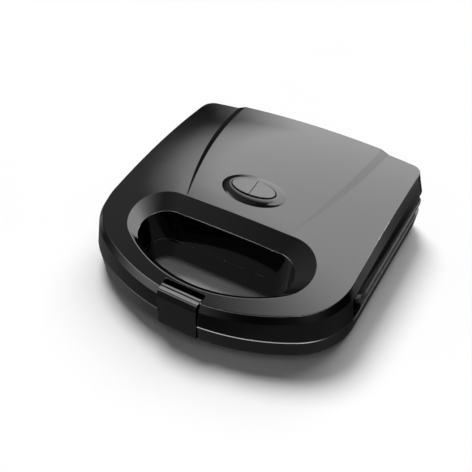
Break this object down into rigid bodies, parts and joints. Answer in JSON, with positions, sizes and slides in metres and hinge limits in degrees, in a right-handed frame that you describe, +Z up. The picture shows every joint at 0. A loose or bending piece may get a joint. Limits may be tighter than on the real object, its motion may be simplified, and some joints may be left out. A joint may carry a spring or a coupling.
{
  "type": "donut maker",
  "caption": "Closed clamshell electric donut maker with loop handle, front latch, domed lid with oval indicator, hinged ring-mould plates and rubber feet.",
  "frame": {"origin": "on the table under the middle of the appliance's bounding box", "axes": "+X to the appliance's right seen from the handle, +Y from the handle to the hinge, +Z up"},
  "size_m": [0.23, 0.2279, 0.0657],
  "materials": {
    "housing": "polished graphite black",
    "latch_plastic": "polished black",
    "plate_coating": "black non-stick coating on cast aluminium",
    "element_steel": "heat-tinted steel tube",
    "bright_steel": "zinc plated",
    "reflector_sheet": "mill",
    "ceramic_body": "ceramic",
    "sleeve": "glass fibre sleeve",
    "inner_plastic": "matt",
    "rubber": "matt black",
    "hinge_steel": "black passivated steel",
    "lens": "smoked translucent",
    "lamp_glass": "clear"
  },
  "bodies": {
    "base": {"lower_housing": "housing", "lower_plate": "plate_coating", "lower_heating_element": "element_steel", "lower_element_tabs": "bright_steel", "lower_element_clips": "bright_steel", "lower_reflector": "reflector_sheet", "lower_plate_screws": "bright_steel", "lower_thermostat": "ceramic_body", "thermal_fuse": "sleeve", "terminal_block": "inner_plastic", "base_leads": "sleeve", "cord_gland": "rubber", "foot_front_left": "rubber", "foot_front_right": "rubber", "foot_rear_left": "rubber", "foot_rear_right": "rubber", "foot_screws": "bright_steel", "hinge_leaf_left": "hinge_steel", "hinge_leaf_right": "hinge_steel", "hinge_pin_left": "bright_steel", "hinge_pin_right": "bright_steel", "hinge_leaf_screws": "bright_steel"},
    "lid": {"upper_housing": "housing", "upper_plate": "plate_coating", "upper_heating_element": "element_steel", "upper_element_tabs": "bright_steel", "upper_element_clips": "bright_steel", "upper_reflector": "reflector_sheet", "upper_plate_screws": "bright_steel", "upper_thermostat": "ceramic_body", "lid_leads": "sleeve", "hinge_arm_left": "hinge_steel", "hinge_arm_right": "hinge_steel", "hinge_arm_screws": "bright_steel", "latch_pin": "bright_steel", "power_lens": "lens", "ready_lens": "lens", "lamp_holder": "inner_plastic", "power_lamp": "lamp_glass", "ready_lamp": "lamp_glass"},
    "latch": {"latch": "latch_plastic"}
  },
  "joints": [
    {"name": "lid_hinge", "type": "hinge", "parent": "base", "child": "lid", "pos_m": [0, 0.107, 0.03175], "axis": [-1, 0, 0], "range_deg": [0, 100]},
    {"name": "latch_pivot", "type": "hinge", "parent": "lid", "child": "latch", "pos_m": [0, -0.105, 0.0379], "axis": [-1, 0, 0], "range_deg": [-2.5, 95]}
  ]
}
